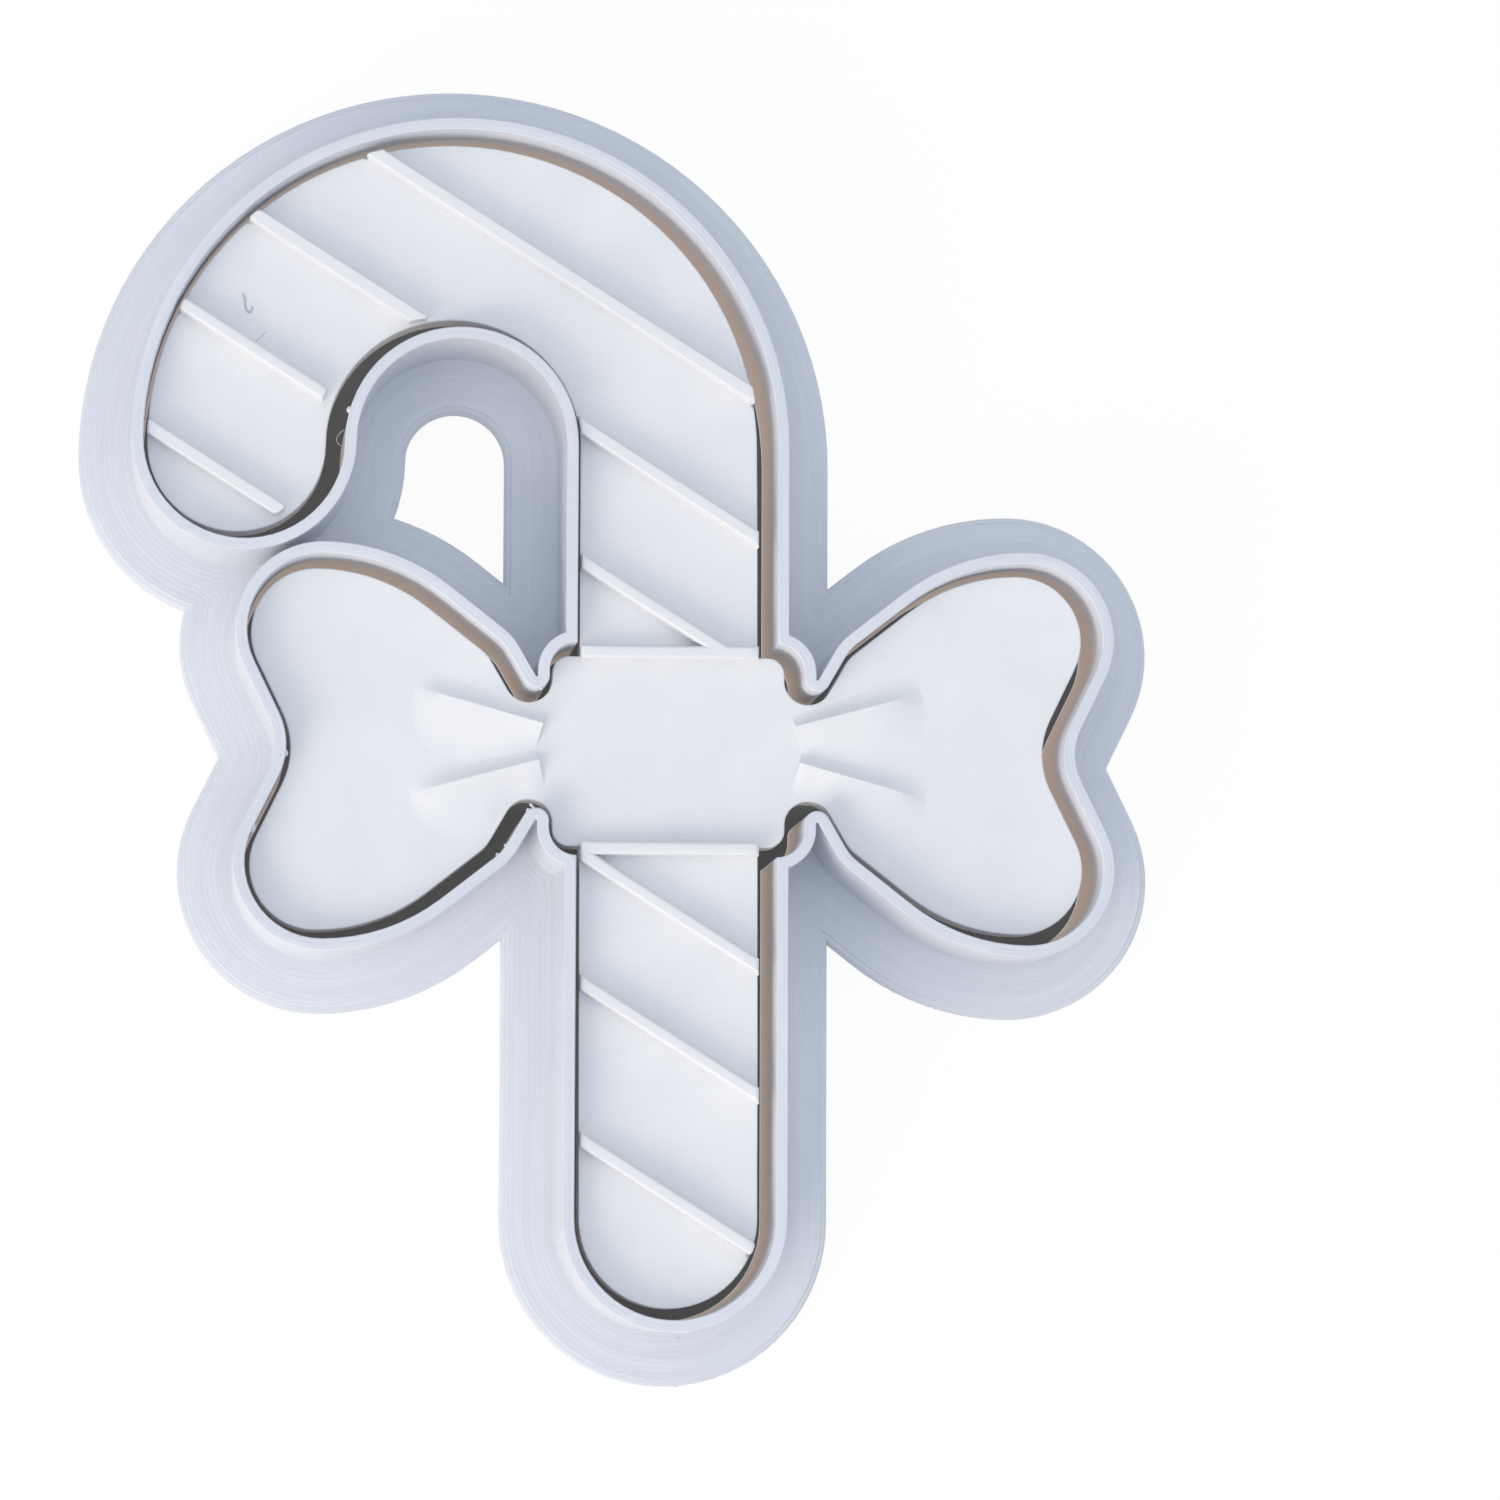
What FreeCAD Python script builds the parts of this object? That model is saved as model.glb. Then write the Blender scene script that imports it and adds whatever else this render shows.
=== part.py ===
"""Candy-cane plunger cutter: an open cutter, a loose relief stamp inside it and a grip under the stamp.

Millimetres. The cutter stands on its flange with the cutting edge up. The stem of the cane runs along Y,
the bow along X, and the outline that is worked out below is the inner face of the blade.
"""
import math
import os

import FreeCAD
import Part
from FreeCAD import Vector

# Cutter: a thin wall standing on a wide finger flange
cutter_height = 14.0
flange_thickness = 2.4
flange_reach = 5.6
flange_edge_drop = 0.5
flange_edge_layers = 2
blade_thickness = 1.0

# Cane: a stem that turns over into a half-circle hook, both ends round
cane_width = 17.1
hook_radius = 18.5
hook_height = 26.1
stem_drop = 39.8

# Bow: two loops with a notch in each end, drawn in at the waist beside a square knot
bow_half_width = 36.6
bow_half_height = 16.4
lobe_radius = 6.5
notch_depth = 4.1
notch_round = 6.0
loop_straight = 6.6
loop_round = 4.0
waist_half_height = 5.1
waist_slope = 60.0
waist_flank = 3.7
waist_round = 1.1
knot_half_width = 10.9
knot_half_height = 9.1
knot_round = 2.4

# Stamp: a loose plate that lies a little to one side of its slot and a little turned
slot_clearance = 0.94
stamp_lie_x = -0.55
stamp_lie_y = 0.02
stamp_turn = 0.2
stamp_recess = 2.4
stamp_thickness = 3.0

# Relief on the stamp: slanting stripes, a bar across each end of the knot and four sloping folds
rib_width = 1.15
rib_height = 1.7
stripe_slope = -32.2
crown_stripe = 35.2
hook_stripes = (23.2, 11.6, -0.75)
hook_stripe_inset = 0.9
stem_stripes = (23.0, 11.4, -13.65, -24.6, -37.9)
knot_bar_inset = 0.7
fold_length = 10.9
fold_slope = 15.4
fold_start_x = 11.0
fold_start_y = 1.55
fold_root_width = 1.7
fold_tip_width = 1.5
fold_layers = 6

# Grip: a low cross glued to the stamp's back by pegs in blind sockets
grip_width = 7.0
grip_stem_top = 27.0
grip_stem_bottom = 38.0
grip_bow_half_length = 26.0
grip_foot_bevel = 0.8
peg_radius = 2.0
peg_height = 1.6
peg_clearance = 0.1
peg_end_inset = 6.0

# Heights above the table, and the room that a cut needs past a face
stamp_top = cutter_height - stamp_recess
stamp_bottom = stamp_top - stamp_thickness
overshoot = 1.0


def line(start, end):
    """A straight edge."""
    return Part.LineSegment(start, end).toShape()


def arc(start, middle, end):
    """A circular edge through three points."""
    return Part.Arc(start, middle, end).toShape()


def polar(centre, radius, degrees):
    """A point on a circle."""
    angle = math.radians(degrees)
    return centre + Vector(radius * math.cos(angle), radius * math.sin(angle), 0)


def face_of(edges):
    """A flat face inside a closed run of edges."""
    return Part.Face(Part.Wire(Part.__sortEdges__(edges)))


def round_corner(before, corner, after, radius):
    """Start, middle and end of the arc that rounds off a corner."""
    to_before = (before - corner).normalize()
    to_after = (after - corner).normalize()
    half_angle = to_before.getAngle(to_after) / 2
    inward = (to_before + to_after).normalize()
    centre = corner + inward * (radius / math.sin(half_angle))
    reach = radius / math.tan(half_angle)
    return corner + to_before * reach, centre - inward * radius, corner + to_after * reach


def cane_face(half_width):
    """The cane as a band of the given half width about its centre line."""
    tip_x = -2 * hook_radius
    right_foot = Vector(half_width, -stem_drop, 0)
    right_top = Vector(half_width, hook_height, 0)
    crown = Vector(-hook_radius, hook_height + hook_radius + half_width, 0)
    tip_outer = Vector(tip_x - half_width, hook_height, 0)
    tip_end = Vector(tip_x, hook_height - half_width, 0)
    tip_inner = Vector(tip_x + half_width, hook_height, 0)
    inner_crown = Vector(-hook_radius, hook_height + hook_radius - half_width, 0)
    left_top = Vector(-half_width, hook_height, 0)
    left_foot = Vector(-half_width, -stem_drop, 0)
    stem_end = Vector(0, -stem_drop - half_width, 0)
    return face_of([
        line(right_foot, right_top),
        arc(right_top, crown, tip_outer),
        arc(tip_outer, tip_end, tip_inner),
        arc(tip_inner, inner_crown, left_top),
        line(left_top, left_foot),
        arc(left_foot, stem_end, right_foot),
    ])


def bow_face():
    """The bow: one quarter drawn from the knot out to the end notch, then mirrored across both axes."""
    knot_top = Vector(0, knot_half_height, 0)
    knot_corner = Vector(knot_half_width, knot_half_height, 0)

    # The waist is a finger of wall between knot and loop; its outer flank leans by waist_slope
    finger = Vector(knot_half_width + waist_round, waist_half_height + waist_round, 0)
    flank = polar(Vector(), 1, waist_slope)
    flank_foot = polar(finger, waist_round, waist_slope - 90)
    waist_corner = flank_foot - flank * ((flank_foot.x - knot_half_width) / flank.x)
    loop_corner = flank_foot + flank * waist_flank

    # The loop's edge climbs straight from that flank, then bends over to lie level on top of the lobe.
    # The bend touches both lines equally far from the crest where they would meet
    lobe = Vector(bow_half_width - lobe_radius, bow_half_height - lobe_radius, 0)
    lobe_top = polar(lobe, lobe_radius, 90)
    climb = lobe_top - loop_corner
    reach = (climb.Length ** 2 - loop_straight ** 2) / (2 * (climb.x + loop_straight))
    crest = lobe_top - Vector(reach, 0, 0)
    half_bend = (loop_corner - crest).getAngle(lobe_top - crest) / 2
    bend = round_corner(loop_corner, crest, lobe_top, reach * math.tan(half_bend))

    # The line from the notch touches the lobe's outer side
    notch = Vector(bow_half_width - notch_depth, 0, 0)
    to_lobe = lobe - notch
    lean = math.degrees(math.atan2(to_lobe.y, to_lobe.x) - math.asin(lobe_radius / to_lobe.Length))
    lobe_side = polar(lobe, lobe_radius, lean - 90)
    lobe_middle = polar(lobe, lobe_radius, lean / 2)
    below = Vector(lobe_side.x, -lobe_side.y, 0)

    knot_arc = round_corner(knot_top, knot_corner, waist_corner, knot_round)
    waist_arc = round_corner(knot_corner, waist_corner, loop_corner, waist_round)
    loop_arc = round_corner(waist_corner, loop_corner, crest, loop_round)
    notch_arc = round_corner(lobe_side, notch, below, notch_round)
    quarter = [
        line(knot_top, knot_arc[0]),
        arc(*knot_arc),
        line(knot_arc[2], waist_arc[0]),
        arc(*waist_arc),
        line(waist_arc[2], loop_arc[0]),
        arc(*loop_arc),
        line(loop_arc[2], bend[0]),
        arc(bend[0], bend[1], lobe_top),
        arc(lobe_top, lobe_middle, lobe_side),
        line(lobe_side, notch_arc[0]),
    ]
    half = quarter + [edge.mirror(Vector(), Vector(0, 1, 0)) for edge in quarter] + [arc(*notch_arc)]
    return face_of(half + [edge.mirror(Vector(), Vector(1, 0, 0)) for edge in half])


def prism(face, bottom, top):
    """A flat face drawn up from one height to another."""
    return face.translated(Vector(0, 0, bottom)).extrude(Vector(0, 0, top - bottom))


def cane_and_bow(offset, bottom, top):
    """A block of the whole outline, moved outwards by an offset, or inwards by a negative one."""
    bow = bow_face()
    if offset:
        bow = bow.makeOffset2D(offset)
    cane = cane_face(cane_width / 2 + offset)
    return prism(cane, bottom, top).fuse(prism(bow, bottom, top)).removeSplitter()


def cutter_frame():
    """Flange and wall in one print, open right through. The flange's edge steps in over its last layers."""
    layers = [cane_and_bow(flange_reach, 0, flange_thickness - flange_edge_drop)]
    for count in range(1, flange_edge_layers + 1):
        share = count / flange_edge_layers
        top = flange_thickness - flange_edge_drop * (1 - share)
        layers.append(cane_and_bow(flange_reach - flange_edge_drop * share ** 2, 0, top))
    wall = cane_and_bow(blade_thickness, 0, cutter_height)
    slot = cane_and_bow(0, -overshoot, cutter_height + overshoot)
    return wall.multiFuse(layers).cut(slot).removeSplitter()


def stripe(height, top):
    """A slanting bar, longer than the cane is wide, that crosses the stem's centre line at a height."""
    reach = 2 * (hook_radius + cane_width)
    bar = Part.makeBox(
        2 * reach, rib_width, top - stamp_top + overshoot,
        Vector(-reach, -rib_width / 2, stamp_top - overshoot))
    bar.rotate(Vector(), Vector(0, 0, 1), stripe_slope)
    bar.translate(Vector(0, height, 0))
    return bar


def stripes(top):
    """Slanting stripes from edge to edge of the cane, kept clear of the knot.

    Those on the hook stop a little short of its inner side.
    """
    cane = prism(cane_face(cane_width / 2 - slot_clearance), stamp_top - overshoot, top)
    knot_edge = knot_half_height - knot_bar_inset
    knot = Part.makeBox(cane_width, 2 * knot_edge, cutter_height, Vector(-cane_width / 2, -knot_edge, 0))
    hook = Part.makeBox(
        hook_radius + cane_width, 2 * cane_width + hook_height, cutter_height,
        Vector(-2 * hook_radius - cane_width, 0, 0))
    hook = hook.common(cane.translated(Vector(-hook_stripe_inset, 0, 0)))
    stem = Part.makeBox(
        cane_width, stem_drop + cane_width + hook_height + hook_radius, cutter_height,
        Vector(-cane_width / 2, -stem_drop - cane_width, 0)).cut(knot)
    bars = [stripe(crown_stripe, top).common(cane)]
    bars += [stripe(height, top).common(cane).common(hook) for height in hook_stripes]
    bars += [stripe(height, top).common(cane).common(stem) for height in stem_stripes]
    return bars


def knot_bars(top):
    """A level bar across each end of the knot, as wide as the stem."""
    half_length = cane_width / 2 - slot_clearance
    bars = []
    for side in (1, -1):
        middle = side * (knot_half_height - knot_bar_inset)
        bars.append(Part.makeBox(
            2 * half_length, rib_width, top - stamp_top + overshoot,
            Vector(-half_length, middle - rib_width / 2, stamp_top - overshoot)))
    return bars


def fold():
    """One fold: a ridge that falls from the knot to nothing, in the steps of its printed layers."""
    layer = rib_height / fold_layers
    steps = []
    for count in range(fold_layers):
        left = 1 - count / fold_layers
        length = fold_length * left
        narrowing = 0.6 + 0.4 * left
        root = fold_root_width / 2 * narrowing
        tip = fold_tip_width / 2 * narrowing
        flat = face_of([
            arc(Vector(0, root, 0), Vector(-root, 0, 0), Vector(0, -root, 0)),
            line(Vector(0, -root, 0), Vector(length, -tip, 0)),
            arc(Vector(length, -tip, 0), Vector(length + tip, 0, 0), Vector(length, tip, 0)),
            line(Vector(length, tip, 0), Vector(0, root, 0)),
        ])
        steps.append(prism(flat, stamp_top - overshoot, stamp_top + layer * (count + 1)))
    ridge = steps[0].multiFuse(steps[1:]).removeSplitter()
    ridge.rotate(Vector(), Vector(0, 0, 1), fold_slope)
    ridge.translate(Vector(fold_start_x, fold_start_y, 0))
    return ridge


def folds():
    """The fold in each quarter of the bow."""
    upper_right = fold()
    lower_right = upper_right.mirror(Vector(), Vector(0, 1, 0))
    right = [upper_right, lower_right]
    return right + [ridge.mirror(Vector(), Vector(1, 0, 0)) for ridge in right]


def peg_places():
    """One peg near each end of the grip's two arms."""
    return [
        Vector(0, grip_stem_top - peg_end_inset, 0),
        Vector(0, peg_end_inset - grip_stem_bottom, 0),
        Vector(grip_bow_half_length - peg_end_inset, 0, 0),
        Vector(peg_end_inset - grip_bow_half_length, 0, 0),
    ]


def pegs(radius, bottom, top):
    """Round pegs, or the cutters for their sockets."""
    return [Part.makeCylinder(radius, top - bottom, place + Vector(0, 0, bottom)) for place in peg_places()]


def stamp_plate():
    """The relief plate, with blind sockets in its back for the grip's pegs."""
    plate = cane_and_bow(-slot_clearance, stamp_bottom, stamp_top)
    rib_top = stamp_top + rib_height
    plate = plate.multiFuse(stripes(rib_top) + knot_bars(rib_top) + folds())
    socket_top = stamp_bottom + peg_height + peg_clearance
    sockets = pegs(peg_radius + peg_clearance, stamp_bottom - overshoot, socket_top)
    return plate.cut(Part.makeCompound(sockets)).removeSplitter()


def round_bar(start, end, width):
    """A flat bar with round ends."""
    along = (end - start).normalize()
    side = Vector(-along.y, along.x, 0) * (width / 2)
    nose = along * (width / 2)
    return face_of([
        line(start + side, end + side),
        arc(end + side, end + nose, end - side),
        line(end - side, start - side),
        arc(start - side, start - nose, start + side),
    ])


def plunger_grip():
    """A cross under the plate: it stands on the table, and a fingertip pushes it through the cutter."""
    end = grip_width / 2
    stem = round_bar(Vector(0, end - grip_stem_bottom, 0), Vector(0, grip_stem_top - end, 0), grip_width)
    bow = round_bar(
        Vector(end - grip_bow_half_length, 0, 0), Vector(grip_bow_half_length - end, 0, 0), grip_width)
    cross = prism(stem, 0, stamp_bottom).fuse(prism(bow, 0, stamp_bottom)).removeSplitter()
    foot = [edge for edge in cross.Edges if edge.BoundBox.ZMax < stamp_bottom / 2]
    cross = cross.makeChamfer(grip_foot_bevel, foot)
    held = pegs(peg_radius, stamp_bottom - overshoot, stamp_bottom + peg_height)
    return cross.multiFuse(held).removeSplitter()


def main():
    """Build each piece about the knot, lay the stamp in its slot and centre the whole on its flange."""
    rim = cane_width / 2 + flange_reach
    left = 2 * hook_radius + rim
    right = bow_half_width + flange_reach
    back = hook_height + hook_radius + rim
    front = stem_drop + rim
    home = Vector((left - right) / 2, (front - back) / 2, 0)
    lie = Vector(stamp_lie_x, stamp_lie_y, 0)
    nodes = {"cutter_frame": cutter_frame(), "stamp_plate": stamp_plate(), "plunger_grip": plunger_grip()}
    for name in ("stamp_plate", "plunger_grip"):
        nodes[name].rotate(Vector(), Vector(0, 0, 1), stamp_turn)
        nodes[name].translate(lie)
    for shape in nodes.values():
        shape.translate(home)
    os.makedirs("parts", exist_ok=True)
    for name, shape in nodes.items():
        solid = shape.Solids[0]
        box = solid.optimalBoundingBox(False)
        print(name, len(shape.Solids), "solid,", solid.isValid(), round(solid.Volume), "mm3,",
              round(box.XLength, 2), round(box.YLength, 2), round(box.ZLength, 2))
        solid.exportStep("parts/" + name + ".step")
    print("knot centre at", round(home.x, 3), round(home.y, 3))


main()
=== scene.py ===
import math

import bmesh
import bpy
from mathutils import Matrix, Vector, kdtree


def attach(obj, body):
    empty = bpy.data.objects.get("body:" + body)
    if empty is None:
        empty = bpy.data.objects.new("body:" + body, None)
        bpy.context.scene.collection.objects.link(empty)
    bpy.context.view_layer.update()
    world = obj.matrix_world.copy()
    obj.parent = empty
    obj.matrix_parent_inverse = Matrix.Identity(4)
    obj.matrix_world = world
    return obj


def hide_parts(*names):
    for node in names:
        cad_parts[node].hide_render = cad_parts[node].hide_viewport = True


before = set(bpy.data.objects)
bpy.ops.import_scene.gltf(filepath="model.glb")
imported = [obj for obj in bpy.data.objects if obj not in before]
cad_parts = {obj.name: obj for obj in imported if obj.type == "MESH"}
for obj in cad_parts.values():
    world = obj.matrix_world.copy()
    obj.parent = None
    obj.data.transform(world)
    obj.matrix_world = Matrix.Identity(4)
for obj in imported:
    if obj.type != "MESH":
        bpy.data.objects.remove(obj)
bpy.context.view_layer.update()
scene = bpy.context.scene

# The cutter: a thin upright wall on a wide finger flange, printed in one go in cool white PLA, flange
# first. Its level faces show the nozzle's beads running round the outline and its upright faces show the
# layers. Every edge is a little soft, because a bead of plastic is round.
mm = 0.001
hair = 0.01 * mm
weld = 0.002 * mm
flat_turn = math.radians(0.3)
crease_turn = math.radians(32)
corner_turn = math.radians(50)
level_tilt = 0.05
flange_top = 2.4 * mm
flange_steps = (1.9 * mm, 2.15 * mm, flange_top)
blade_top = 14.0 * mm
blade_softness = 0.12 * mm
flange_softness = 0.09 * mm
foot_softness = 0.15 * mm
flange_grid = 1.5 * mm
layer_slice = 0.2 * mm


def join_flats(shape):
    """Merges doubles, and joins the triangles of one plane to whole faces."""
    bmesh.ops.remove_doubles(shape, verts=shape.verts, dist=weld)
    bmesh.ops.dissolve_limit(shape, angle_limit=flat_turn, verts=shape.verts, edges=shape.edges)


def solid_copy(node):
    """A working copy of a CAD node, in whole faces."""
    shape = bmesh.new()
    shape.from_mesh(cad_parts[node].data)
    shape.verts.layers.float.new("upright")
    shape.verts.layers.float.new("from_foot")
    join_flats(shape)
    return shape


def soften(shape, width, height, yielding=False):
    """Rounds the outward edges at a height, rim by rim. A yielding rim narrows where room is short."""
    sharp = dict.fromkeys(
        edge for edge in shape.edges
        if edge.is_manifold and edge.is_convex
        and edge.calc_face_angle() > corner_turn
        and all(abs(vert.co.z - height) < hair for vert in edge.verts))
    rims = []
    while sharp:
        rim = [sharp.popitem()[0]]
        for edge in rim:
            near = [other for vert in edge.verts for other in vert.link_edges if other in sharp]
            for other in dict.fromkeys(near):
                rim.append(other)
                del sharp[other]
        rims.append(rim)
    for rim in rims:
        bmesh.ops.bevel(
            shape, geom=rim, offset=width, offset_type="OFFSET", segments=3, profile=0.5,
            affect="EDGES", clamp_overlap=yielding)
    bmesh.ops.dissolve_degenerate(shape, edges=shape.edges, dist=2 * weld)
    shape.normal_update()


def slice_faces(shape, faces, normal, places):
    """Cuts faces by parallel planes at the given places along a normal, halving the work each time."""
    if not faces or not places:
        return
    middle = len(places) // 2
    edges = list(dict.fromkeys(edge for face in faces for edge in face.edges))
    verts = list(dict.fromkeys(vert for face in faces for vert in face.verts))
    cut = bmesh.ops.bisect_plane(
        shape, geom=faces + edges + verts, dist=weld / 2,
        plane_co=normal * places[middle], plane_no=normal)
    pieces = [part for part in cut["geom"] if isinstance(part, bmesh.types.BMFace)]
    below = [face for face in pieces if face.calc_center_median().dot(normal) < places[middle]]
    above = [face for face in pieces if face.calc_center_median().dot(normal) >= places[middle]]
    slice_faces(shape, below, normal, places[:middle])
    slice_faces(shape, above, normal, places[middle + 1:])


def steps(low, high, step):
    """Evenly spaced places between two limits, both left out."""
    return [low + step * number for number in range(1, round((high - low) / step))]


def slice_level(shape, low, high, grid):
    """Cuts the faces that look up or down between two heights into a grid, so that none is large."""
    for axis in (Vector((1, 0, 0)), Vector((0, 1, 0))):
        faces = [
            face for face in shape.faces
            if abs(face.normal.z) > level_tilt and low < face.calc_center_median().z < high]
        reach = [vert.co.dot(axis) for face in faces for vert in face.verts]
        slice_faces(shape, faces, axis, steps(min(reach), max(reach), grid))
    shape.normal_update()


def slice_upright(shape, low, high):
    """Cuts the upright faces at every half layer, and marks the points that only upright faces share."""
    upright = [
        face for face in shape.faces
        if abs(face.normal.z) < level_tilt and face.calc_center_median().z < high]
    slice_faces(shape, upright, Vector((0, 0, 1)), steps(low, high, layer_slice))
    shape.normal_update()
    mark = shape.verts.layers.float["upright"]
    for vert in shape.verts:
        level = any(abs(face.normal.z) > level_tilt for face in vert.link_faces)
        vert[mark] = 0.0 if level or vert.co.z > high - hair else 1.0


cutter = solid_copy("cutter_frame")
soften(cutter, blade_softness, blade_top)
for height in flange_steps:
    soften(cutter, flange_softness, height)
soften(cutter, foot_softness, 0.0)
slice_level(cutter, -hair, flange_top + hair, flange_grid)
slice_level(cutter, blade_top - mm, blade_top + hair, flange_grid)
slice_upright(cutter, 0.0, blade_top)

# How far each point lies from the foot of the wall, in millimetres, seen from above. The inside of the
# wall lies one wall thickness away on the other side.
foot_spacing = 0.1 * mm
foot_points = []
for edge in cutter.edges:
    level = all(abs(vert.co.z - flange_top) < hair for vert in edge.verts)
    if level and edge.is_manifold and not edge.is_convex and edge.calc_face_angle() > corner_turn:
        start, end = edge.verts[0].co, edge.verts[1].co
        count = max(1, round((end - start).length / foot_spacing))
        foot_points += [start.lerp(end, number / count) for number in range(count + 1)]
foot = kdtree.KDTree(len(foot_points))
for number, place in enumerate(foot_points):
    foot.insert((place.x, place.y, 0.0), number)
foot.balance()
mark = cutter.verts.layers.float["from_foot"]
for vert in cutter.verts:
    vert[mark] = foot.find((vert.co.x, vert.co.y, 0.0))[2] / mm


def add(tree, kind, inputs=None, **settings):
    """Adds a node with its settings, and sets or links its inputs."""
    node = tree.nodes.new(kind)
    for name, value in settings.items():
        setattr(node, name, value)
    for socket, value in (inputs or {}).items():
        if isinstance(value, bpy.types.NodeSocket):
            tree.links.new(value, node.inputs[socket])
        else:
            node.inputs[socket].default_value = value
    return node


def linear(code):
    """A linear colour from an sRGB hex code."""
    parts = [int(code[place:place + 2], 16) / 255 for place in (1, 3, 5)]
    return [
        part / 12.92 if part <= 0.04045 else ((part + 0.055) / 1.055) ** 2.4 for part in parts] + [1.0]


def blank_material(name):
    """A new material, and its empty tree."""
    material = bpy.data.materials.new(name)
    material.use_nodes = True
    material.node_tree.nodes.clear()
    return material, material.node_tree


# PLA laid down in beads: a satin cool white with soft lighter and darker streaks where the beads run side
# by side round the outline, a faint cloudiness, and a fine grain. Inside the slot, below the stamp, the
# wall is painted a warmer grey, as painted shade for the shadowed slot and the warm light bounced into
# it.
wall_thickness, wall_slack = 1.0, 0.3
bead_width = 0.45
bead_ridge = 0.01 * mm
streaks_per_bead = 0.55
streak_length = 22 * mm
cloud_size = 6 * mm
grain_size = 0.22 * mm
grain_depth = 0.02 * mm
slot_shade_starts, slot_shade_full = 9.6 * mm, 7.2 * mm
slot_shade_share = 0.9
cutter_pla, tree = blank_material("cool_white_PLA_print")
spot = add(tree, "ShaderNodeTexCoord").outputs["Object"]
axes = add(tree, "ShaderNodeSeparateXYZ", {0: spot})
out_from_foot = add(tree, "ShaderNodeAttribute", attribute_name="from_foot").outputs["Fac"]
on_upright = add(tree, "ShaderNodeAttribute", attribute_name="upright").outputs["Fac"]
on_level = add(tree, "ShaderNodeMath", {0: 1.0, 1: on_upright}, operation="SUBTRACT").outputs[0]
beads = add(tree, "ShaderNodeMath", {0: out_from_foot, 1: bead_width}, operation="DIVIDE").outputs[0]
along = add(tree, "ShaderNodeVectorMath", {0: spot, "Scale": 1 / streak_length}, operation="SCALE")
along = add(tree, "ShaderNodeSeparateXYZ", {0: along.outputs[0]})
lane = add(tree, "ShaderNodeCombineXYZ", {
    "X": add(tree, "ShaderNodeMath", {0: beads, 1: streaks_per_bead}, operation="MULTIPLY").outputs[0],
    "Y": along.outputs["X"], "Z": along.outputs["Y"]})
streak = add(tree, "ShaderNodeTexNoise", {
    "Vector": lane.outputs[0], "Scale": 1.0, "Detail": 3.0, "Roughness": 0.6}).outputs[0]
streak = add(tree, "ShaderNodeMapRange", {
    "Value": streak, "From Min": 0.3, "From Max": 0.7}).outputs[0]
cloud = add(tree, "ShaderNodeTexNoise", {
    "Vector": spot, "Scale": 1 / cloud_size, "Detail": 3.0}).outputs[0]
cloud = add(tree, "ShaderNodeMapRange", {
    "Value": cloud, "From Min": 0.35, "From Max": 0.7, "To Max": 0.5}).outputs[0]
grain = add(tree, "ShaderNodeTexNoise", {
    "Vector": spot, "Scale": 1 / grain_size, "Detail": 2.0}).outputs[0]
streaked = add(tree, "ShaderNodeMix", {
    0: streak, 6: linear("#D3D8E0"), 7: linear("#DDE2E9")}, data_type="RGBA").outputs[2]
clouded = add(tree, "ShaderNodeMix", {
    0: cloud, 6: streaked, 7: linear("#D5DAE2")}, data_type="RGBA").outputs[2]
# Painted shade: the inner wall below the stamp's face is toned a warmer grey, for the shadowed slot.
inside = add(tree, "ShaderNodeMath", {
    0: out_from_foot, 1: wall_thickness, 2: wall_slack}, operation="COMPARE").outputs[0]
low_down = add(tree, "ShaderNodeMapRange", {
    "Value": axes.outputs["Z"], "From Min": slot_shade_starts, "From Max": slot_shade_full}).outputs[0]
painted_slot_shade = add(tree, "ShaderNodeMath", {0: inside, 1: low_down}, operation="MULTIPLY").outputs[0]
painted_slot_shade = add(tree, "ShaderNodeMath", {0: painted_slot_shade, 1: on_upright}, operation="MULTIPLY").outputs[0]
painted_slot_shade = add(tree, "ShaderNodeMath", {0: painted_slot_shade, 1: slot_shade_share}, operation="MULTIPLY").outputs[0]
toned = add(tree, "ShaderNodeMix", {
    0: painted_slot_shade, 6: clouded, 7: linear("#DCD3CC")}, data_type="RGBA").outputs[2]
satin = add(tree, "ShaderNodeMapRange", {
    "Value": streak, "To Min": 0.42, "To Max": 0.58}).outputs[0]
turn = add(tree, "ShaderNodeMath", {0: beads, 1: 2 * math.pi}, operation="MULTIPLY")
ridge = add(tree, "ShaderNodeMath", {0: turn.outputs[0]}, operation="COSINE").outputs[0]
ridge = add(tree, "ShaderNodeMath", {0: ridge, 1: on_level}, operation="MULTIPLY").outputs[0]
ridged = add(tree, "ShaderNodeBump", {"Strength": 0.5, "Distance": bead_ridge, "Height": ridge})
grained = add(tree, "ShaderNodeBump", {
    "Strength": 0.35, "Distance": grain_depth, "Height": grain, "Normal": ridged.outputs[0]})
plastic = add(tree, "ShaderNodeBsdfPrincipled", {
    "Base Color": toned, "Roughness": satin, "IOR": 1.46, "Normal": grained.outputs[0]})
add(tree, "ShaderNodeOutputMaterial", {"Surface": plastic.outputs[0]})


def blank_tree(name, inputs):
    """A new geometry tree with a shape in and out, and more inputs by name and kind."""
    group = bpy.data.node_groups.new(name, "GeometryNodeTree")
    for label, kind in {"Geometry": "Geometry", **inputs}.items():
        group.interface.new_socket(label, in_out="INPUT", socket_type=f"NodeSocket{kind}")
    group.interface.new_socket("Geometry", in_out="OUTPUT", socket_type="NodeSocketGeometry")
    return group


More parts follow.
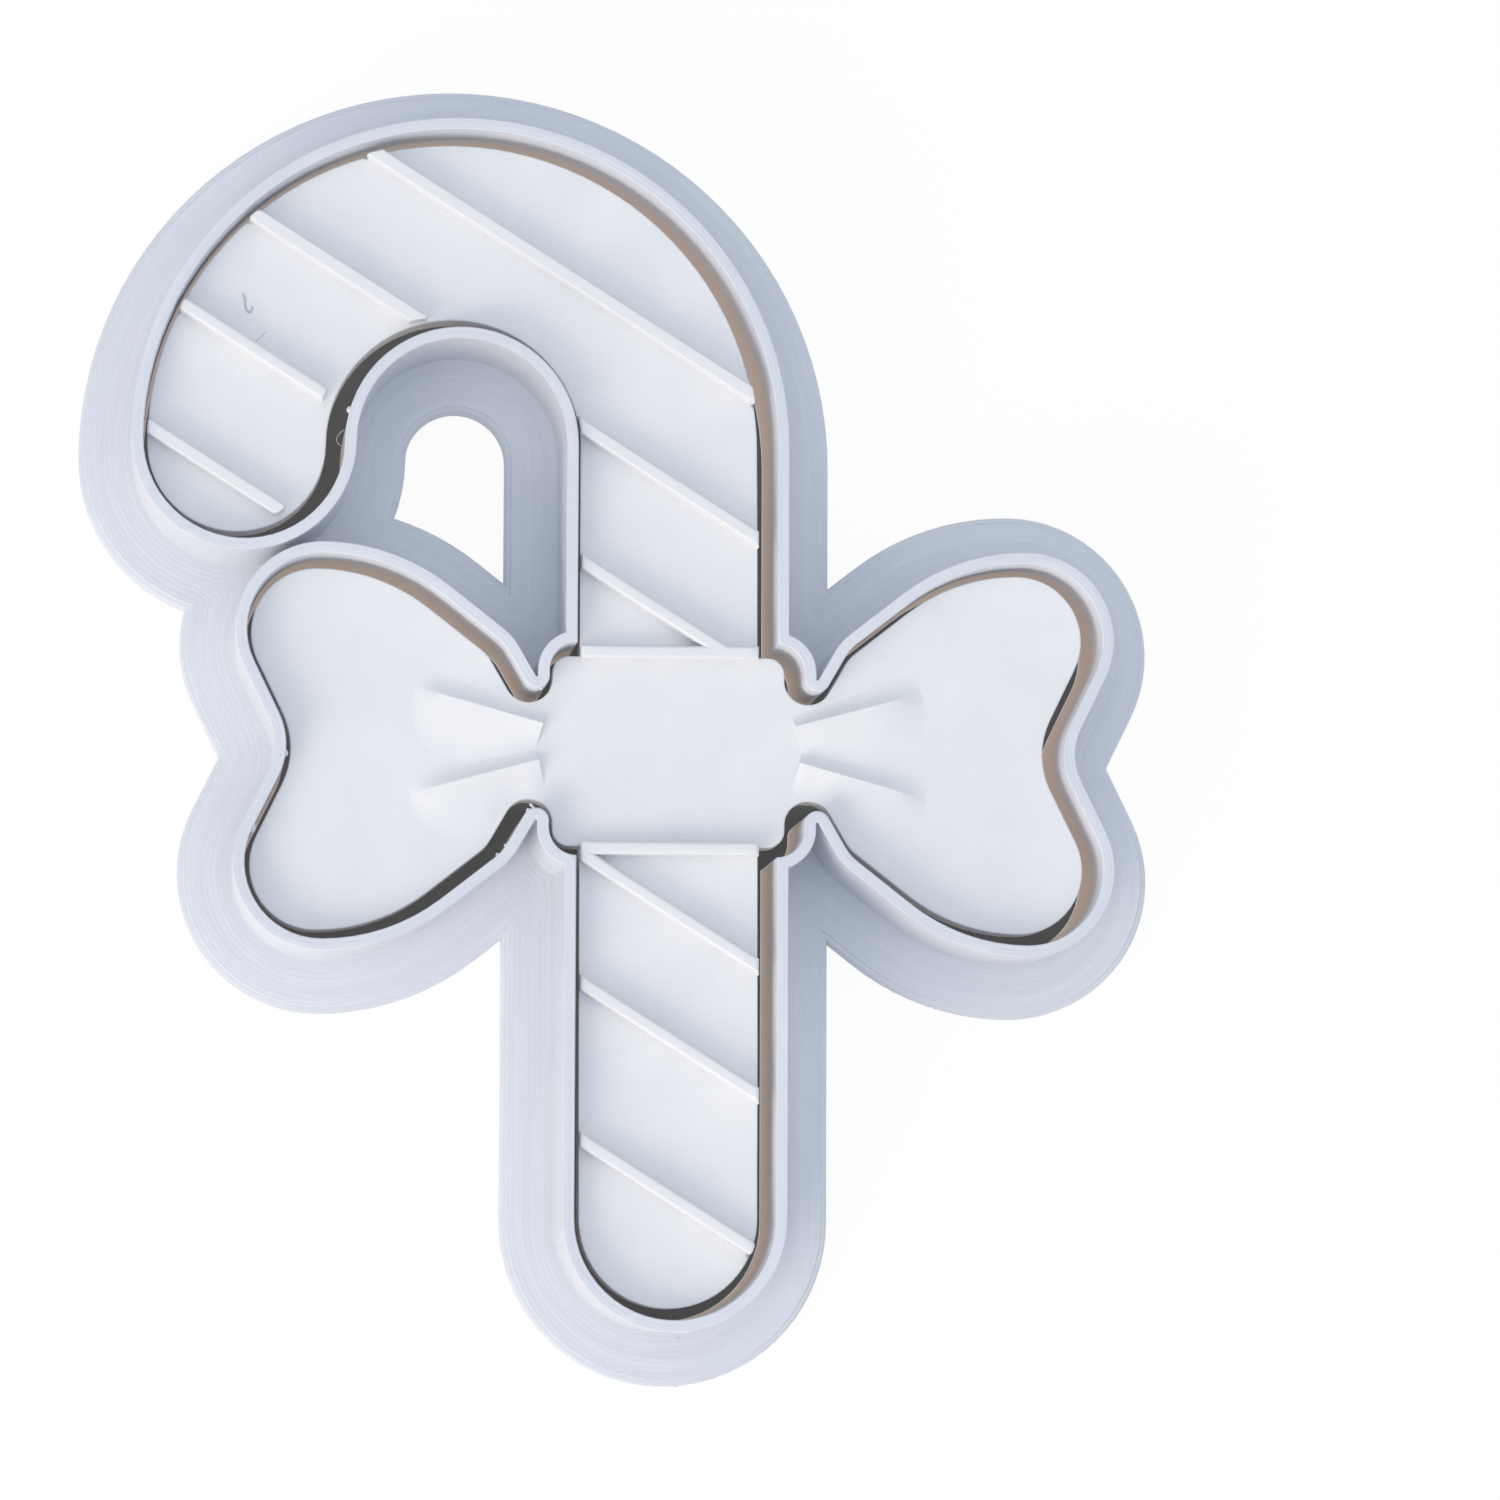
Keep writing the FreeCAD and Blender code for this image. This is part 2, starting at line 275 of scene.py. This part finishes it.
# The layers: each upright face bulges a little once per layer. Real layers are 0.2 mm thick; they are
# drawn twice as thick here, because the real ones are too fine to show.
layer_height = 2 * layer_slice
layer_depth = 0.03 * mm
layers = blank_tree("printed_layers", {
    "Layer Height": "Float", "Layer Depth": "Float", "Material": "Material"})
given = add(layers, "NodeGroupInput")
height = add(layers, "ShaderNodeSeparateXYZ", {0: add(layers, "GeometryNodeInputPosition").outputs[0]})
count = add(layers, "ShaderNodeMath", {
    0: height.outputs["Z"], 1: given.outputs["Layer Height"]}, operation="DIVIDE")
turn = add(layers, "ShaderNodeMath", {0: count.outputs[0], 1: 2 * math.pi}, operation="MULTIPLY")
wave = add(layers, "ShaderNodeMath", {0: turn.outputs[0]}, operation="COSINE")
dip = add(layers, "ShaderNodeMath", {0: wave.outputs[0], 1: 0.5, 2: -0.5}, operation="MULTIPLY_ADD")
mark = add(layers, "GeometryNodeInputNamedAttribute", {"Name": "upright"}, data_type="FLOAT")
shown = add(layers, "ShaderNodeMath", {
    0: dip.outputs[0], 1: mark.outputs["Attribute"]}, operation="MULTIPLY")
depth = add(layers, "ShaderNodeMath", {
    0: shown.outputs[0], 1: given.outputs["Layer Depth"]}, operation="MULTIPLY")
shift = add(layers, "ShaderNodeVectorMath", {
    0: add(layers, "GeometryNodeInputNormal").outputs[0], "Scale": depth.outputs[0]}, operation="SCALE")
moved = add(layers, "GeometryNodeSetPosition", {
    "Geometry": given.outputs["Geometry"], "Offset": shift.outputs[0]})
real = add(layers, "GeometryNodeRealizeInstances", {0: moved.outputs[0]})
dressed = add(layers, "GeometryNodeSetMaterial", {
    "Geometry": real.outputs[0], "Material": given.outputs["Material"]})
add(layers, "NodeGroupOutput", {0: dressed.outputs[0]})


def plain_mesh(blank):
    """Turns an object with modifiers into a plain mesh, and removes the object."""
    bpy.context.view_layer.update()
    seen = blank.evaluated_get(bpy.context.evaluated_depsgraph_get())
    mesh = bpy.data.meshes.new_from_object(seen)
    bpy.data.objects.remove(blank)
    return mesh


def run_tree(mesh, group, values):
    """Runs a geometry tree on a mesh, with its inputs given by name, and returns a plain mesh."""
    blank = bpy.data.objects.new("blank", mesh)
    scene.collection.objects.link(blank)
    modifier = blank.modifiers.new("tree", "NODES")
    modifier.node_group = group
    for item in group.interface.items_tree:
        if item.in_out == "INPUT" and item.name in values:
            modifier[item.identifier] = values[item.name]
    return plain_mesh(blank)


def printed(shape, name, material):
    """Gives a worked shape its layers and even shading, as a piece of the scene."""
    mesh = bpy.data.meshes.new(name)
    for face in shape.faces:
        face.smooth = True
    for edge in shape.edges:
        edge.smooth = edge.calc_face_angle(0.0) < crease_turn
    shape.to_mesh(mesh)
    shape.free()
    mesh = run_tree(mesh, layers, {
        "Layer Height": layer_height, "Layer Depth": layer_depth, "Material": material})
    blank = bpy.data.objects.new("blank", mesh)
    scene.collection.objects.link(blank)
    even = blank.modifiers.new("even", "WEIGHTED_NORMAL")
    even.keep_sharp = True
    mesh = plain_mesh(blank)
    mesh.name = name
    piece = bpy.data.objects.new(name, mesh)
    scene.collection.objects.link(piece)
    return piece


cutter_print = printed(cutter, "cutter_print", cutter_pla)
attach(cutter_print, "cutter")
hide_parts("cutter_frame")

# The marks that printing leaves on the cutter: a seam where every layer starts, at the foot of the stem,
# and a few nubs on the wall's inner edge where the nozzle was lifted. They are blobs of the same plastic.
# Places and sizes are in millimetres, and each blob sits on the nearest surface.
seam_x, seam_on_wall, seam_on_flange = 5.7, -52.2, -57.0
seam_blob = (0.2, 0.1, 0.13)
nubs = [
    ((-23.82, 26.44, 13.2), (0.36, 0.4, 0.4)), ((-8.11, -7.77, 13.5), (0.2, 0.2, 0.2)),
    ((-10.19, -10.58, 13.3), (0.22, 0.18, 0.2)), ((-10.89, -11.32, 13.3), (0.2, 0.2, 0.2)),
    ((-6.83, 2.0, 12.6), (0.22, 0.2, 0.35)), ((-28.6, -3.07, 13.0), (0.24, 0.3, 0.3)),
    ((-31.88, -9.17, 13.0), (0.24, 0.45, 0.3)),
]
flange_seam = [(seam_x, seam_on_flange, 0.3 + 0.2 * number) for number in range(8)]
wall_seam = [(seam_x, seam_on_wall, 2.9 + 0.4 * number) for number in range(27)]
blobs = [(place, seam_blob) for place in flange_seam + wall_seam] + nubs
specks = blank_tree("plastic_specks", {"Unevenness": "Float", "Seed": "Int", "Material": "Material"})
given = add(specks, "NodeGroupInput")
blob = add(specks, "GeometryNodeMeshIcoSphere", {"Radius": 1.0, "Subdivisions": 2})
most = add(specks, "ShaderNodeMath", {0: 1.0, 1: given.outputs["Unevenness"]}, operation="ADD")
least = add(specks, "ShaderNodeMath", {0: 1.0, 1: given.outputs["Unevenness"]}, operation="SUBTRACT")
chance = add(specks, "FunctionNodeRandomValue", {
    2: least.outputs[0], 3: most.outputs[0], "Seed": given.outputs["Seed"]}, data_type="FLOAT")
reach = add(specks, "GeometryNodeInputNamedAttribute", {"Name": "reach"}, data_type="FLOAT_VECTOR")
scaled = add(specks, "ShaderNodeVectorMath", {
    0: reach.outputs["Attribute"], "Scale": chance.outputs[1]}, operation="SCALE")
placed = add(specks, "GeometryNodeInstanceOnPoints", {
    "Points": given.outputs["Geometry"], "Instance": blob.outputs["Mesh"], "Scale": scaled.outputs[0]})
real = add(specks, "GeometryNodeRealizeInstances", {0: placed.outputs[0]})
dressed = add(specks, "GeometryNodeSetMaterial", {
    "Geometry": real.outputs[0], "Material": given.outputs["Material"]})
add(specks, "NodeGroupOutput", {0: dressed.outputs[0]})
mesh = bpy.data.meshes.new("spots")
sat = [cutter_print.closest_point_on_mesh(Vector(place) * mm)[1] for place, size in blobs]
mesh.from_pydata(sat, [], [])
reach = mesh.attributes.new("reach", "FLOAT_VECTOR", "POINT")
for number, (place, size) in enumerate(blobs):
    reach.data[number].vector = Vector(size) * mm
mesh = run_tree(mesh, specks, {"Unevenness": 0.25, "Seed": 7, "Material": cutter_pla})


def smooth_piece(mesh, name):
    """A smooth piece of the scene from a plain mesh."""
    mesh.name = name
    for polygon in mesh.polygons:
        polygon.use_smooth = True
    piece = bpy.data.objects.new(name, mesh)
    scene.collection.objects.link(piece)
    return piece


cutter_marks = smooth_piece(mesh, "cutter_print_marks")
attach(cutter_marks, "cutter")

# The strings that a nozzle pulls: a stub on the lower finger of the wall and a fine loop on the hook's
# inner side. Both are hair-thin white plastic, stuck to the wall at one end or both.
stub = [(-7.99, -7.16, 13.3), (-7.78, -7.42, 13.5), (-7.52, -7.71, 13.6)]
loop = [
    (-24.01, 24.91, 11.5), (-24.3, 24.71, 11.4), (-24.58, 24.39, 11.2),
    (-24.64, 24.07, 11.1), (-24.49, 23.77, 11.0), (-24.15, 23.57, 11.0)]
strings = blank_tree("plastic_strings", {"String Radius": "Float", "Material": "Material"})
given = add(strings, "NodeGroupInput")
line = add(strings, "GeometryNodeMeshToCurve", {"Mesh": given.outputs["Geometry"]})
smooth = add(strings, "GeometryNodeCurveSplineType", {
    "Curve": line.outputs[0]}, spline_type="CATMULL_ROM")
even = add(strings, "GeometryNodeResampleCurve", {"Curve": smooth.outputs[0], "Count": 28})
ring = add(strings, "GeometryNodeCurvePrimitiveCircle", {
    "Resolution": 8, "Radius": given.outputs["String Radius"]})
tube = add(strings, "GeometryNodeCurveToMesh", {
    "Curve": even.outputs[0], "Profile Curve": ring.outputs[0], "Fill Caps": True})
real = add(strings, "GeometryNodeRealizeInstances", {0: tube.outputs[0]})
dressed = add(strings, "GeometryNodeSetMaterial", {
    "Geometry": real.outputs[0], "Material": given.outputs["Material"]})
add(strings, "NodeGroupOutput", {0: dressed.outputs[0]})


def pull_string(places, radius, material, name):
    """A string of plastic along some places given in millimetres."""
    mesh = bpy.data.meshes.new(name)
    mesh.from_pydata(
        [Vector(place) * mm for place in places],
        [(number, number + 1) for number in range(len(places) - 1)], [])
    return smooth_piece(run_tree(mesh, strings, {"String Radius": radius, "Material": material}), name)


for name, places, radius in (("finger_stub", stub, 0.12 * mm), ("hook_loop", loop, 0.02 * mm)):
    string = pull_string(places, radius, cutter_pla, name)
    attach(string, "cutter")

# The stamp: a loose plate that slides inside the wall, with raised stripes and bars on its face. It is a
# second print, in a white a little clearer than the cutter's, laid face up in slanting strokes.
plate_bottom = 8.6 * mm
plate_top = 11.6 * mm
rib_top = 13.3 * mm
rib_softness = 0.28 * mm
rib_end_round = 0.32 * mm
rib_end_height = 1.5 * mm
rib_end_turns = math.radians(60), math.radians(150)
plate_grid = 3.0 * mm
plate_softness = 0.15 * mm
plate_skin = 0.2 * mm
stamp = solid_copy("stamp_plate")
corners = [
    edge for edge in stamp.edges
    if edge.is_manifold and edge.is_convex
    and rib_end_turns[0] < edge.calc_face_angle() < rib_end_turns[1]
    and abs(edge.verts[0].co.z - edge.verts[1].co.z) > rib_end_height
    and all(vert.co.z > plate_top - hair for face in edge.link_faces for vert in face.verts)
]
bmesh.ops.bevel(
    stamp, geom=corners, offset=rib_end_round, offset_type="OFFSET", segments=2, profile=0.5,
    affect="EDGES", clamp_overlap=False)

# The folds beside the knot are drawn apart, further down, so their plain bars sink into the plate here.
knot_x, knot_y = 3.93 * mm, -2.38 * mm
bars_start, bars_half_height = 9.5 * mm, 8.0 * mm
for vert in stamp.verts:
    beside = abs(vert.co.x - knot_x) > bars_start and abs(vert.co.y - knot_y) < bars_half_height
    if beside and vert.co.z > plate_top:
        vert.co.z = plate_top
join_flats(stamp)
soften(stamp, rib_softness, rib_top, yielding=True)
soften(stamp, plate_softness, plate_top)
slice_level(stamp, plate_top - plate_skin, rib_top + hair, plate_grid)
slice_upright(stamp, plate_bottom, plate_top)

# PLA laid face up: a satin white with the last layer's slanting strokes faintly showing in patches. The
# thin ribs are one even shade, because light comes through them.
stroke_pitch = 0.47 * mm
stroke_slope = math.radians(50)
stroke_ridge = 0.005 * mm
stroke_shade = 0.08
patch_size = 11 * mm
rib_foot = plate_top + 0.3 * mm
strokes_across = Vector((-math.sin(stroke_slope), math.cos(stroke_slope), 0)) / stroke_pitch
stamp_pla, tree = blank_material("white_PLA_print")
spot = add(tree, "ShaderNodeTexCoord").outputs["Object"]
axes = add(tree, "ShaderNodeSeparateXYZ", {0: spot})
on_upright = add(tree, "ShaderNodeAttribute", attribute_name="upright").outputs["Fac"]
on_level = add(tree, "ShaderNodeMath", {0: 1.0, 1: on_upright}, operation="SUBTRACT").outputs[0]
count = add(tree, "ShaderNodeVectorMath", {
    0: spot, 1: strokes_across}, operation="DOT_PRODUCT").outputs["Value"]
turn = add(tree, "ShaderNodeMath", {0: count, 1: 2 * math.pi}, operation="MULTIPLY").outputs[0]
stroke = add(tree, "ShaderNodeMath", {0: turn}, operation="SINE").outputs[0]
patch = add(tree, "ShaderNodeTexNoise", {
    "Vector": spot, "Scale": 1 / patch_size, "Detail": 2.0}).outputs[0]
patch = add(tree, "ShaderNodeMapRange", {
    "Value": patch, "From Min": 0.54, "From Max": 0.74}).outputs[0]
patch = add(tree, "ShaderNodeMath", {0: patch, 1: on_level}, operation="MULTIPLY").outputs[0]
stroke = add(tree, "ShaderNodeMath", {0: stroke, 1: patch}, operation="MULTIPLY").outputs[0]
cloud = add(tree, "ShaderNodeTexNoise", {
    "Vector": spot, "Scale": 1 / cloud_size, "Detail": 3.0}).outputs[0]
grain = add(tree, "ShaderNodeTexNoise", {
    "Vector": spot, "Scale": 1 / grain_size, "Detail": 2.0}).outputs[0]
shade = add(tree, "ShaderNodeMapRange", {
    "Value": stroke, "From Min": -1.0, "From Max": 1.0,
    "To Min": -stroke_shade, "To Max": stroke_shade}).outputs[0]
shade = add(tree, "ShaderNodeMath", {0: cloud, 1: shade}, operation="ADD").outputs[0]
shade = add(tree, "ShaderNodeMapRange", {
    "Value": shade, "From Min": 0.25, "From Max": 0.75}).outputs[0]
clouded = add(tree, "ShaderNodeMix", {
    0: shade, 6: linear("#E2E5E8"), 7: linear("#EAEBEC")}, data_type="RGBA").outputs[2]
raised = add(tree, "ShaderNodeMapRange", {
    "Value": axes.outputs["Z"], "From Min": rib_foot, "From Max": rib_top}).outputs[0]
toned = add(tree, "ShaderNodeMix", {
    0: raised, 6: clouded, 7: linear("#E6E8EA")}, data_type="RGBA").outputs[2]
satin = add(tree, "ShaderNodeMapRange", {
    "Value": cloud, "From Min": 0.3, "From Max": 0.7, "To Min": 0.44, "To Max": 0.58}).outputs[0]
ridged = add(tree, "ShaderNodeBump", {"Strength": 0.5, "Distance": stroke_ridge, "Height": stroke})
grained = add(tree, "ShaderNodeBump", {
    "Strength": 0.35, "Distance": grain_depth, "Height": grain, "Normal": ridged.outputs[0]})
plastic = add(tree, "ShaderNodeBsdfPrincipled", {
    "Base Color": toned, "Roughness": satin, "IOR": 1.46, "Normal": grained.outputs[0]})
add(tree, "ShaderNodeOutputMaterial", {"Surface": plastic.outputs[0]})

stamp_print = printed(stamp, "stamp_print", stamp_pla)
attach(stamp_print, "plunger")
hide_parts("stamp_plate")

# The folds of the bow: four low ridges on the stamp's face, each with a crisp crest, a short hollow side
# and a long side that falls off gently like cloth. They are printed with the plate in the same plastic,
# end sharply at the knot and run out at the tip.
fold_start = Vector((11.0, 1.55)) * mm
fold_slope = math.radians(15.4)
fold_length = 11.4 * mm
crest_offset = 0.7 * mm
crest_height = 1.0 * mm
short_at_knot, short_at_tip = 1.0 * mm, 2.2 * mm
fall_at_knot, fall_between = 2.3 * mm, 6.0 * mm
short_growth, fall_return = 1.5, 3
run_out, run_out_ease = 7, 1.5
fold_sunk = 0.3 * mm
fold_sections = 25

# The section across a fold, as shares of its sides and of its crest; where there is no rise, it is sunk.
fold_section = [
    (1.0, None), (1.0, 0.0), (0.7, 0.08), (0.4, 0.34), (0.15, 0.75), (0.03, 0.96), (0.0, 1.0),
    (-0.18, 0.78), (-0.36, 0.54), (-0.54, 0.33), (-0.7, 0.17), (-0.85, 0.055), (-1.0, 0.0), (-1.0, None)]
plate_rim = 0.25 * mm
rim_step = 0.02 * mm


def fold_place(side, half, share, up):
    """A place above a fold: along it by a share of its length, and up from its axis by a distance."""
    beside = fold_start.x + share * fold_length * math.cos(fold_slope) - half * up * math.sin(fold_slope)
    above = half * (fold_start.y + share * fold_length * math.sin(fold_slope)) + up * math.cos(fold_slope)
    return Vector((knot_x + side * beside, knot_y + above, blade_top))


def off_plate(place):
    """Whether the flat of the plate is missing below a place."""
    return stamp_print.ray_cast(place, Vector((0, 0, -1)))[1].z < plate_top - hair


bpy.context.view_layer.update()
folds = bmesh.new()
for side in (-1, 1):
    for half in (-1, 1):
        rings = []
        for number in range(fold_sections):
            share = number / (fold_sections - 1)
            short = short_at_knot + (short_at_tip - short_at_knot) * share ** short_growth
            fall = fall_at_knot + fall_between * share * (1 - share ** fall_return)
            while short > rim_step and off_plate(
                    fold_place(side, half, share, crest_offset + short + plate_rim)):
                short -= rim_step
            while fall > rim_step and off_plate(
                    fold_place(side, half, share, crest_offset - fall - plate_rim)):
                fall -= rim_step
            crest = crest_height * (1 - share ** run_out) ** run_out_ease
            ring = []
            for across, rise in fold_section:
                up = crest_offset + across * (short if across > 0 else fall)
                place = fold_place(side, half, share, up)
                place.z = plate_top - fold_sunk if rise is None else plate_top + rise * crest - hair
                ring.append(folds.verts.new(place))
            rings.append(ring)
        for ring, other in zip(rings, rings[1:]):
            for number in range(len(ring)):
                folds.faces.new((ring[number - 1], ring[number], other[number], other[number - 1]))
        folds.faces.new(rings[0])
        folds.faces.new(rings[-1])
bmesh.ops.recalc_face_normals(folds, faces=folds.faces)
folds.verts.layers.float.new("upright")
folds_print = printed(folds, "folds_print", stamp_pla)
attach(folds_print, "plunger")

# Two loose ends of plastic on the stamp: a short hook-shaped one and a straight hair, both lying flat
# where they cooled. They are a shade greyer than the plate: painted shade for the faint shadow they show.
wisp_cloud = 0.5 * mm
wisp_lift = 0.6
curl = [
    (-32.8, 36.44), (-32.66, 36.14), (-32.59, 35.87), (-32.58, 35.45),
    (-32.44, 35.05), (-32.19, 34.88), (-32.0, 35.09), (-31.97, 35.37)]
straight = [(-31.83, 32.19), (-31.36, 32.65), (-30.8, 33.2)]
wisp_pla, tree = blank_material("thin_PLA_wisp")
spot = add(tree, "ShaderNodeTexCoord").outputs["Object"]
cloud = add(tree, "ShaderNodeTexNoise", {
    "Vector": spot, "Scale": 1 / wisp_cloud, "Detail": 2.0}).outputs[0]
# Painted shade: the greyer tone stands in for the loose ends' faint shadow.
toned = add(tree, "ShaderNodeMix", {
    0: cloud, 6: linear("#AEB4BC"), 7: linear("#C4CAD2")}, data_type="RGBA").outputs[2]
plastic = add(tree, "ShaderNodeBsdfPrincipled", {"Base Color": toned, "Roughness": 0.45, "IOR": 1.46})
add(tree, "ShaderNodeOutputMaterial", {"Surface": plastic.outputs[0]})
for name, places, radius in (("stamp_curl", curl, 0.075 * mm), ("stamp_hair", straight, 0.03 * mm)):
    lying = [(x, y, (plate_top + wisp_lift * radius) / mm) for x, y in places]
    string = pull_string(lying, radius, wisp_pla, name)
    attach(string, "plunger")

# The grip: a round-ended bar with a crossbar on the back of the stamp, for two fingers to push it out by.
# It is printed apart in the same white, and its pegs are glued into the stamp.
peg_top = 10.2 * mm
grip = solid_copy("plunger_grip")
slice_upright(grip, 0.0, peg_top)
grip_print = printed(grip, "grip_print", stamp_pla)
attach(grip_print, "plunger")
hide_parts("plunger_grip")

# The floor: plain and pale. The camera sees it white, with the shadow kept.
floor_half = 2.0
floor_height = -0.05 * mm
floor_glow = 0.9
floor_white = 1.02


def seen_rays(tree):
    """One for a ray from the camera, or off gloss or through glass, and nothing for the others."""
    path = add(tree, "ShaderNodeLightPath")
    seen = add(tree, "ShaderNodeMath", {
        0: path.outputs["Is Camera Ray"], 1: path.outputs["Is Glossy Ray"]}, operation="MAXIMUM")
    seen = add(tree, "ShaderNodeMath", {
        0: seen.outputs[0], 1: path.outputs["Is Transmission Ray"]}, operation="MAXIMUM")
    return seen.outputs[0]


floor_mesh = bpy.data.meshes.new("floor")
floor_mesh.from_pydata(
    [(-floor_half, -floor_half, floor_height), (floor_half, -floor_half, floor_height),
     (floor_half, floor_half, floor_height), (-floor_half, floor_half, floor_height)],
    [], [(0, 1, 2, 3)])
floor = bpy.data.objects.new("floor", floor_mesh)
scene.collection.objects.link(floor)
white_floor, tree = blank_material("white_floor")
share = add(tree, "ShaderNodeMath", {0: seen_rays(tree), 1: floor_glow}, operation="MULTIPLY")
matt = add(tree, "ShaderNodeBsdfDiffuse", {"Color": linear("#F2F2F2")})
glow = add(tree, "ShaderNodeEmission", {"Color": linear("#FFFFFF"), "Strength": floor_white})
mixed = add(tree, "ShaderNodeMixShader", {0: share.outputs[0], 1: matt.outputs[0], 2: glow.outputs[0]})
add(tree, "ShaderNodeOutputMaterial", {"Surface": mixed.outputs[0]})
floor_mesh.materials.append(white_floor)

# The patch of floor inside the slot: painted shade to the camera, grey as the shadowed gap round the
# stamp is, and glowing to all else, as painted light in place of the light that comes through the thin
# wall. It follows the slot's lower rim.
patch_height = -0.04 * mm
patch_glow = 0.68
down_tilt = -0.9
base = solid_copy("cutter_frame")
others = [
    face for face in base.faces if face.normal.z > down_tilt or face.calc_center_median().z > hair]
bmesh.ops.delete(base, geom=others, context="FACES")
loose = dict.fromkeys(edge for edge in base.edges if edge.is_boundary)
rims = []
while loose:
    edge = loose.popitem()[0]
    start, vert = edge.verts
    rim = [start]
    while vert is not start:
        rim.append(vert)
        edge = next(other for other in vert.link_edges if other in loose)
        del loose[edge]
        vert = edge.other_vert(vert)
    rims.append([(vert.co.x, vert.co.y, patch_height) for vert in rim])
rims.sort(key=lambda rim: max(place[1] for place in rim) - min(place[1] for place in rim))
slot_rim = rims[-2]
base.free()
patch_mesh = bpy.data.meshes.new("floor_in_slot")
patch_mesh.from_pydata(slot_rim, [], [range(len(slot_rim))])
floor_patch = bpy.data.objects.new("floor_in_slot", patch_mesh)
scene.collection.objects.link(floor_patch)
lit_floor, tree = blank_material("floor_lit_through_the_wall")
path = add(tree, "ShaderNodeLightPath")
# Painted shade: the grey that the camera sees stands in for the dark of the slot.
matt = add(tree, "ShaderNodeBsdfDiffuse", {"Color": linear("#7E878D")})
glow = add(tree, "ShaderNodeEmission", {"Color": linear("#FFEEE4"), "Strength": patch_glow})
mixed = add(tree, "ShaderNodeMixShader", {
    0: path.outputs["Is Camera Ray"], 1: glow.outputs[0], 2: matt.outputs[0]})
add(tree, "ShaderNodeOutputMaterial", {"Surface": mixed.outputs[0]})
patch_mesh.materials.append(lit_floor)

# The light: a soft studio fill, strongest from overhead, and one large soft lamp on the lower left.
fill_colour = "#EFF5FF"
fill_overhead = 1.2
fill_level = 0.2
key_colour = "#FFEFDF"
key_size = 0.8
key_power = 6.5
key_place = Vector((-0.65, -0.64, 0.405))
world = bpy.data.worlds.new("studio")
scene.world = world
world.use_nodes = True
tree = world.node_tree
tree.nodes.clear()
outward = add(tree, "ShaderNodeSeparateXYZ", {0: add(tree, "ShaderNodeTexCoord").outputs["Generated"]})
strength = add(tree, "ShaderNodeMapRange", {
    "Value": outward.outputs["Z"], "To Min": fill_level, "To Max": fill_overhead})
fill = add(tree, "ShaderNodeBackground", {"Color": linear(fill_colour), "Strength": strength.outputs[0]})
back = add(tree, "ShaderNodeBackground", {"Color": linear("#FFFFFF"), "Strength": 1.0})
mixed = add(tree, "ShaderNodeMixShader", {0: seen_rays(tree), 1: fill.outputs[0], 2: back.outputs[0]})
add(tree, "ShaderNodeOutputWorld", {"Surface": mixed.outputs[0]})
key_data = bpy.data.lights.new("key", "AREA")
key_data.shape = "DISK"
key_data.size = key_size
key_data.energy = key_power
key_data.color = linear(key_colour)[:3]
key = bpy.data.objects.new("key", key_data)
key.location = key_place
key.rotation_euler = (-key_place).to_track_quat("-Z", "Y").to_euler()
scene.collection.objects.link(key)

# The camera: nearly straight above, a little to the lower left of the middle, with a long lens.
camera_data = bpy.data.cameras.new("camera")
camera_data.sensor_width = 36.0
camera_data.lens = 148.67
camera_data.clip_start = 0.01
camera = bpy.data.objects.new("camera", camera_data)
camera.location = (-40.86 * mm, -55.05 * mm, 536.3 * mm)
camera.rotation_euler = (math.radians(5.713), math.radians(-5.654), math.radians(0.193))
scene.collection.objects.link(camera)
scene.camera = camera

scene.view_settings.view_transform = "Standard"
